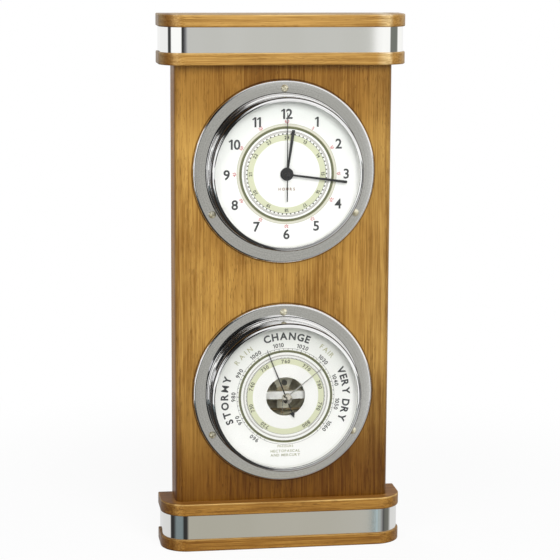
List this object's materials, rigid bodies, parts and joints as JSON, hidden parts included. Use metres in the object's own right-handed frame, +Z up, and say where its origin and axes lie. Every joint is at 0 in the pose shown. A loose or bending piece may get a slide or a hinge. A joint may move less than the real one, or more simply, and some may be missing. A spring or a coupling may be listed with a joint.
{
  "type": "weather station",
  "caption": "Oak wall and shelf weather station with metal-banded caps, a quartz clock above an aneroid barometer in chromed round housings.",
  "frame": {"origin": "middle of the base's underside, midway between the slabs' front and back", "axes": "+Z up, the instruments face -Y, the flat back faces +Y, +X to the viewer's right"},
  "size_m": [0.17, 0.051, 0.372],
  "materials": {
    "oak_slabs": "satin varnish",
    "oak_cores": "raw",
    "oak_panel": "satin varnish",
    "dowel_wood": "raw",
    "polished_band": "polished",
    "chromed_housing": "polished",
    "clear_glass": "clear",
    "white_dial": "satin",
    "brass_screws": "polished",
    "black_hands": "satin",
    "set_hand_silver": "polished",
    "black_plastic": "moulded",
    "cell_sleeve": "plain sleeve",
    "rubber_washer": "matte",
    "spring_steel": "brushed",
    "dark_screws": "blued",
    "movement_brass": "turned",
    "capsule_metal": "rolled",
    "zinc_plate": "zinc plated"
  },
  "bodies": {
    "station": {"base_lower_slab": "oak_slabs", "base_upper_slab": "oak_slabs", "top_lower_slab": "oak_slabs", "top_upper_slab": "oak_slabs", "base_core": "oak_cores", "top_core": "oak_cores", "body_panel": "oak_panel", "cap_dowels": "dowel_wood", "base_band": "polished_band", "top_band": "polished_band", "clock_case": "chromed_housing", "clock_bezel": "chromed_housing", "clock_spacer_ring": "chromed_housing", "barometer_case": "chromed_housing", "barometer_bezel": "chromed_housing", "barometer_spacer_ring": "chromed_housing", "clock_glass": "clear_glass", "barometer_glass": "clear_glass", "clock_dial": "white_dial", "barometer_dial": "white_dial", "clock_flange_screws": "brass_screws", "barometer_flange_screws": "brass_screws", "movement_nut": "black_hands", "movement_housing": "black_plastic", "movement_cover": "black_plastic", "movement_cell": "cell_sleeve", "movement_washer": "rubber_washer", "main_spring": "spring_steel", "cell_contacts": "spring_steel", "bridge_upper_bar": "spring_steel", "bridge_lower_bar": "spring_steel", "aneroid_base_plate": "spring_steel", "transmission_chain": "spring_steel", "main_spring_screws": "dark_screws", "bridge_screws": "dark_screws", "aneroid_post_screws": "dark_screws", "aneroid_posts": "movement_brass", "lever_brackets": "movement_brass", "bridge_pillars": "movement_brass", "spring_link": "movement_brass", "hairspring": "movement_brass", "aneroid_capsule": "capsule_metal", "hanger_plate": "zinc_plate", "hanger_screws": "zinc_plate"},
    "hour_hand_body": {"hour_tube": "movement_brass", "hour_hand": "black_hands"},
    "minute_hand_body": {"minute_arbor": "movement_brass", "minute_hand": "black_hands", "time_set_knob": "black_plastic"},
    "second_hand_body": {"second_arbor": "spring_steel", "second_hand": "black_hands"},
    "pointer_body": {"pointer_arbor": "movement_brass", "pressure_pointer": "black_hands"},
    "lever_body": {"rocking_lever": "movement_brass"},
    "set_hand_body": {"set_hand": "set_hand_silver", "set_hand_knob": "set_hand_silver"},
    "adjusting_screw_body": {"adjusting_screw": "movement_brass"}
  },
  "joints": [
    {"name": "minute_hand_turn", "type": "hinge", "parent": "station", "child": "minute_hand_body", "pos_m": [0, -0.01, 0.265], "axis": [0, 1, 0], "continuous": true},
    {"name": "hour_hand_turn", "type": "hinge", "parent": "station", "child": "hour_hand_body", "pos_m": [0, -0.02, 0.265], "axis": [0, 1, 0], "continuous": true},
    {"name": "second_hand_turn", "type": "hinge", "parent": "station", "child": "second_hand_body", "pos_m": [0, -0.023, 0.265], "axis": [0, 1, 0], "continuous": true},
    {"name": "pointer_turn", "type": "hinge", "parent": "station", "child": "pointer_body", "pos_m": [0, -0.018, 0.1105], "axis": [0, 1, 0], "range_deg": [-121.5, 148.5], "stiffness_Nm_per_rad": 0.00002},
    {"name": "lever_rock", "type": "hinge", "parent": "station", "child": "lever_body", "pos_m": [0, -0.0051, 0.0973], "axis": [1, 0, 0], "range_deg": [-13.29, 10.89]},
    {"name": "set_hand_turn", "type": "hinge", "parent": "station", "child": "set_hand_body", "pos_m": [0, -0.0278, 0.1105], "axis": [0, 1, 0], "continuous": true},
    {"name": "adjusting_screw_turn", "type": "hinge", "parent": "station", "child": "adjusting_screw_body", "pos_m": [0, 0.00725, 0.1105], "axis": [0, 1, 0], "range_deg": [-360, 360]}
  ],
  "couplings": [
    {"joint": "hour_hand_turn", "follows": "minute_hand_turn", "ratio": 0.083333},
    {"joint": "lever_rock", "follows": "pointer_turn", "ratio": -0.08879}
  ]
}
